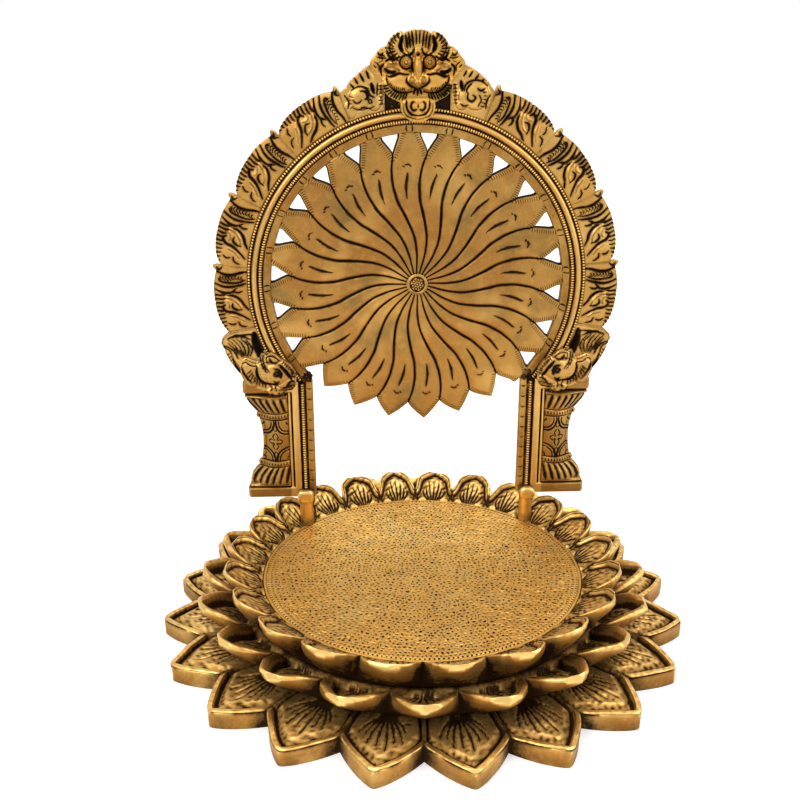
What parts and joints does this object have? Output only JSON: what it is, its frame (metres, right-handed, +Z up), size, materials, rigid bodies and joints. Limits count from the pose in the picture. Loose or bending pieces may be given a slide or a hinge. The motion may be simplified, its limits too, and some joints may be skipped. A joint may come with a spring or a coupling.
{
  "type": "deity throne",
  "caption": "Brass lotus throne for a small deity figure: tiered petals round a flat dimpled seat, and an openwork sun disc back in a carved arch that lifts off on pegs.",
  "frame": {"origin": "on the surface it stands on, under the middle of the lotus base", "axes": "+Z up, -Y towards the front, +X to the viewer's right when seen from the front"},
  "size_m": [0.2286, 0.2286, 0.2494],
  "materials": {
    "brass_worn": "antique brass, high places rubbed bright",
    "brass_warm": "antique brass with dark patina in the recesses",
    "brass_dark": "unpolished brass, dull and brown"
  },
  "bodies": {
    "lotus_base": {"lower_petal_tier": "brass_warm", "middle_petal_tier": "brass_warm", "upper_petal_tier": "brass_worn", "seat_plate": "brass_worn", "tie_stud": "brass_dark", "tie_washer": "brass_dark", "tie_nut": "brass_dark"},
    "aureole": {"sun_disc": "brass_worn", "disc_boss": "brass_worn", "arch_ring": "brass_warm", "leaf_lobe_right_1": "brass_warm", "leaf_lobe_right_2": "brass_warm", "leaf_lobe_right_3": "brass_warm", "leaf_lobe_right_4": "brass_warm", "leaf_lobe_left_1": "brass_warm", "leaf_lobe_left_2": "brass_warm", "leaf_lobe_left_3": "brass_warm", "leaf_lobe_left_4": "brass_warm", "jamb_right": "brass_warm", "jamb_left": "brass_warm", "pillar_right": "brass_warm", "pillar_left": "brass_warm", "peg_right": "brass_worn", "peg_left": "brass_worn", "makara_right": "brass_worn", "makara_left": "brass_worn", "crest_face": "brass_worn", "crest_tongue": "brass_worn", "crest_scroll_right": "brass_warm", "crest_scroll_left": "brass_warm"}
  },
  "joints": [
    {"name": "aureole_lift", "type": "slide", "parent": "lotus_base", "child": "aureole", "axis": [0, 0, 1], "range_m": [0, 0.04]}
  ]
}
